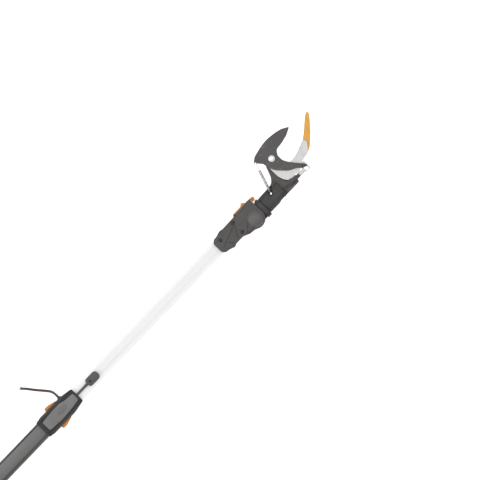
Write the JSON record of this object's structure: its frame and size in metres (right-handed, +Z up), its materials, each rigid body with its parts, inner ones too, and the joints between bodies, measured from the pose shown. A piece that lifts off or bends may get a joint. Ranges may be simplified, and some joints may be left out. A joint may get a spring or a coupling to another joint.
{
  "type": "telescoping tree pruner",
  "caption": "Two-part telescoping pole with a clamp collar and a tilting bypass cutting head: fixed orange-tipped hook and a strap-pulled pivoting blade.",
  "frame": {"origin": "on the pole axis at the foot of the lower tube", "axes": "+X along the pole towards the cutting head, +Y to the side of the moving blade, +Z up as the tool lies flat"},
  "size_m": [2.6993, 0.1115, 0.0456],
  "materials": {
    "outer_tube": "satin black anodised",
    "rubber": "matt soft grip",
    "black_plastic": "fine grain",
    "grey_plastic": "fine grain",
    "housing_plastic": "fine grain",
    "orange_plastic": "satin",
    "white_tube": "bright satin",
    "steel": "ground",
    "zinc": "bright zinc",
    "coated_blade": "dark non-stick coating",
    "orange_coating": "satin coating",
    "strap": "woven webbing",
    "cord": "braided",
    "white_plastic": "smooth"
  },
  "bodies": {
    "pole": {"outer_tube": "outer_tube", "butt_plug": "black_plastic", "hand_grip": "rubber", "grip_ring_1": "orange_plastic", "grip_ring_2": "orange_plastic", "collar_front": "black_plastic", "collar_back": "black_plastic", "collar_panel_front": "grey_plastic", "collar_panel_back": "grey_plastic", "collar_liner": "white_plastic", "collar_band": "black_plastic", "collar_screw_1": "zinc", "collar_screw_2": "zinc", "cord": "cord", "cord_gland": "black_plastic", "stop_knob": "grey_plastic"},
    "puller": {"pull_ball": "orange_plastic", "pull_strap": "strap"},
    "button_up": {"button_upper": "orange_plastic"},
    "button_low": {"button_lower": "orange_plastic"},
    "upper": {"inner_tube": "white_tube", "inner_bush": "black_plastic", "inner_strap": "strap", "strap_cleat": "zinc", "housing_front": "housing_plastic", "housing_back": "housing_plastic", "housing_screw_1": "zinc", "housing_screw_2": "zinc", "housing_screw_3": "zinc", "tilt_bolt": "zinc", "tilt_nut": "zinc", "lever_pin": "zinc"},
    "lever": {"lock_lever": "orange_plastic"},
    "head": {"knuckle": "black_plastic", "neck_back": "black_plastic", "neck_front": "black_plastic", "guide_plate": "grey_plastic", "neck_rivet_1": "zinc", "neck_rivet_2": "zinc", "neck_rivet_3": "zinc", "neck_rivet_4": "zinc", "hook_plate": "steel", "hook_tip": "orange_coating", "hook_rivet_1": "zinc", "hook_rivet_2": "zinc", "pivot_bolt": "zinc", "pivot_nut": "zinc", "spring_anchor": "zinc", "head_strap": "strap"},
    "roller": {"strap_roller": "white_plastic"},
    "cutter": {"blade": "coated_blade", "drive_pin": "zinc", "tail_pin": "zinc"},
    "yoke": {"pull_yoke": "steel"},
    "spring": {"spring_coil": "zinc"},
    "spring_hook": {"spring_rod": "zinc"}
  },
  "joints": [
    {"name": "telescope", "type": "slide", "parent": "pole", "child": "upper", "axis": [1, 0, 0], "range_m": [-0.29, 1.2]},
    {"name": "pull_ball_slide", "type": "slide", "parent": "pole", "child": "puller", "axis": [1, 0, 0], "range_m": [-0.047, 0]},
    {"name": "button_upper_press", "type": "slide", "parent": "pole", "child": "button_up", "axis": [0, -1, 0], "range_m": [0, 0.003], "stiffness_N_per_m": 1500},
    {"name": "button_lower_press", "type": "slide", "parent": "pole", "child": "button_low", "axis": [0, 1, 0], "range_m": [0, 0.003], "stiffness_N_per_m": 1500},
    {"name": "head_tilt", "type": "hinge", "parent": "upper", "child": "head", "pos_m": [2.446, -0.012, 0], "axis": [0, 0, 1], "range_deg": [-90, 0]},
    {"name": "lock_lever_lift", "type": "hinge", "parent": "upper", "child": "lever", "pos_m": [2.425, 0.0186, 0], "axis": [0, 0, 1], "range_deg": [0, 25], "stiffness_Nm_per_rad": 0.3},
    {"name": "roller_spin", "type": "hinge", "parent": "head", "child": "roller", "pos_m": [2.446, -0.012, 0], "axis": [0, 0, 1], "range_deg": [-10, 260]},
    {"name": "blade_swing", "type": "hinge", "parent": "head", "child": "cutter", "pos_m": [2.5445, 0.0415, 0], "axis": [0, 0, 1], "range_deg": [-48, 0], "stiffness_Nm_per_rad": 0.8, "springref_deg": 11.46},
    {"name": "yoke_pull", "type": "slide", "parent": "head", "child": "yoke", "axis": [1, 0, 0], "range_m": [-0.047, 0], "deforming": ["head_strap"]},
    {"name": "spring_swing", "type": "hinge", "parent": "head", "child": "spring", "pos_m": [2.4985, -0.0015, 0], "axis": [0, 0, 1], "range_deg": [-11, 1]},
    {"name": "spring_hook_swing", "type": "hinge", "parent": "cutter", "child": "spring_hook", "pos_m": [2.5185, 0.0565, 0], "axis": [0, 0, 1], "range_deg": [-1, 39]}
  ],
  "couplings": [
    {"joint": "yoke_pull", "follows": "blade_swing", "m_per_rad": 0.056102},
    {"joint": "pull_ball_slide", "follows": "blade_swing", "m_per_rad": 0.056102},
    {"joint": "roller_spin", "follows": "blade_swing", "ratio": -5.3431},
    {"joint": "spring_swing", "follows": "blade_swing", "ratio": 0.2033},
    {"joint": "spring_hook_swing", "follows": "blade_swing", "ratio": -0.7967}
  ]
}
